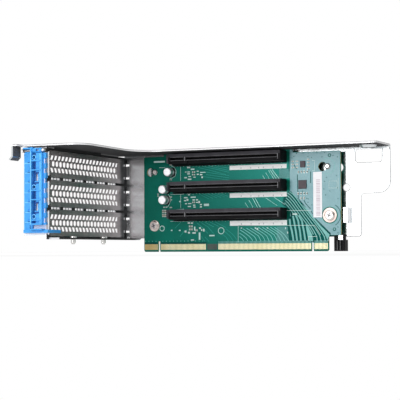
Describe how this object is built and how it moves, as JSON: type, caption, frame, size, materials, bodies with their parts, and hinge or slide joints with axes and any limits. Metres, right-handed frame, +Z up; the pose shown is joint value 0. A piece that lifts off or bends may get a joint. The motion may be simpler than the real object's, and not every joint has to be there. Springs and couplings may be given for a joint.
{
  "type": "pcie riser card",
  "caption": "Riser card in a folded steel bracket, with card slots on a green board, grille fillers on the rear wall and a hinged plastic latch over their tabs.",
  "frame": {"origin": "the middle of the bottom of the board's card edge, at the middle of the board's thickness", "axes": "+X along the board away from the rear wall, +Y from the slots through the board to the back plate, +Z up from the card edge"},
  "size_m": [0.233, 0.1255, 0.0749],
  "materials": {
    "bracket_steel": "bright zinc plating, smooth",
    "frame_steel": "dark plated sheet steel",
    "filler_steel": "grey plated spring steel",
    "board": "glossy green solder mask",
    "gold": "gold plated",
    "slot_plastic": "black moulded plastic",
    "latch_plastic": "bright blue moulded plastic",
    "hardware": "nickel plated",
    "black_plastic": "black moulded plastic",
    "can": "satin",
    "chip_plastic": "black moulded package",
    "passive": "ceramic with tinned ends",
    "label": "satin printed film"
  },
  "bodies": {
    "riser": {"main_bracket": "bracket_steel", "rear_frame": "frame_steel", "riser_board": "board", "edge_contacts_front": "gold", "edge_contacts_back": "gold", "card_slot_1": "slot_plastic", "card_slot_2": "slot_plastic", "card_slot_3": "slot_plastic", "slot_filler_1": "filler_steel", "slot_filler_2": "filler_steel", "slot_filler_3": "filler_steel", "latch_pin": "hardware", "board_screws": "hardware", "board_standoffs": "hardware", "board_studs": "hardware", "guide_pins": "hardware", "frame_rivets": "hardware", "corner_foot": "black_plastic", "capacitor_bases": "black_plastic", "capacitor_cans": "can", "regulator_chip": "chip_plastic", "buffer_chip": "chip_plastic", "small_parts": "passive", "board_label": "label"},
    "latch": {"card_latch": "latch_plastic"}
  },
  "joints": [
    {"name": "latch_hinge", "type": "hinge", "parent": "riser", "child": "latch", "pos_m": [-0.1025, -0.1068, 0.07], "axis": [-1, 0, 0], "range_deg": [0, 80]}
  ]
}
